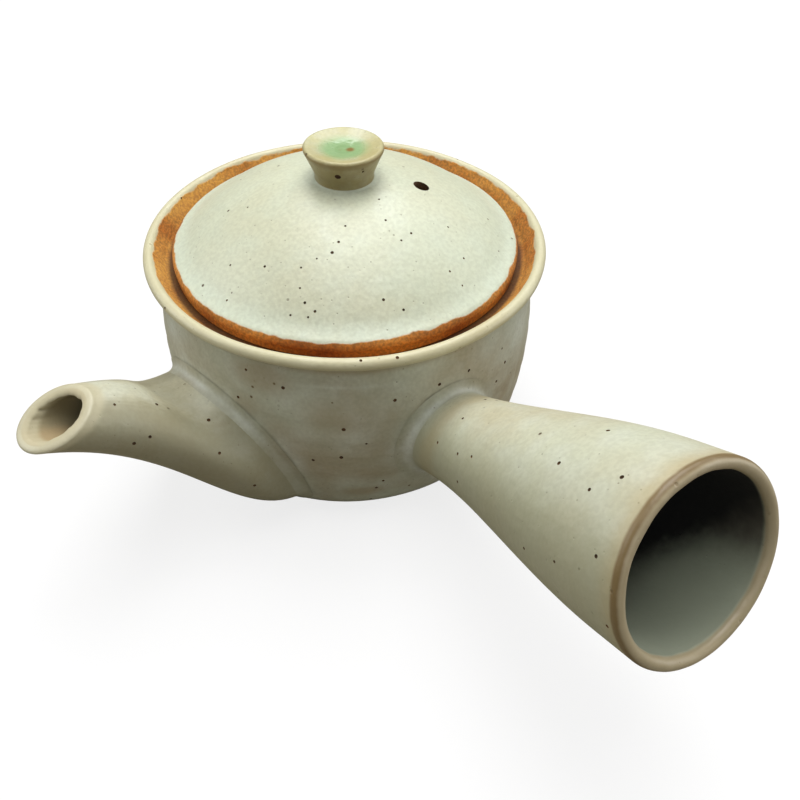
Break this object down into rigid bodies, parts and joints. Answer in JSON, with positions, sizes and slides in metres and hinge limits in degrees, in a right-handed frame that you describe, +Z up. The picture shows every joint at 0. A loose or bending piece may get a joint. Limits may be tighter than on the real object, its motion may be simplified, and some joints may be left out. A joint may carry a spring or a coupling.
{
  "type": "kyusu teapot",
  "caption": "Side-handled glazed stoneware teapot: low round pot with rolled rim, hollow flared handle, short spout with strainer, and a domed lift-off lid with a dished knob.",
  "frame": {"origin": "centre of the flat base, on the pot's axis", "axes": "+Z up along the pot's axis, the handle points along -Y, the spout towards -X"},
  "size_m": [0.1375, 0.1745, 0.0797],
  "materials": {
    "pot_glaze": "satin grey-olive ash glaze with iron specks",
    "spout_glaze": "satin grey-beige ash glaze with iron specks",
    "seam_glaze": "pale bluish glaze pooled in the crease",
    "handle_glaze": "satin cream to grey-beige ash glaze",
    "bare_clay": "bare rust-orange stoneware",
    "lid_glaze": "satin grey-beige glaze, pale blue near the edge",
    "knob_glaze": "satin beige glaze with a pale green pool in the dish"
  },
  "bodies": {
    "pot": {"pot_body": "pot_glaze", "spout": "spout_glaze", "spout_luting_coil": "seam_glaze", "handle": "handle_glaze", "handle_luting_coil": "seam_glaze", "strainer": "bare_clay"},
    "lid": {"lid": "lid_glaze", "lid_knob": "knob_glaze"}
  },
  "joints": [
    {"name": "lid_lift", "type": "slide", "parent": "pot", "child": "lid", "axis": [0, 0, 1], "range_m": [0, 0.06]}
  ]
}
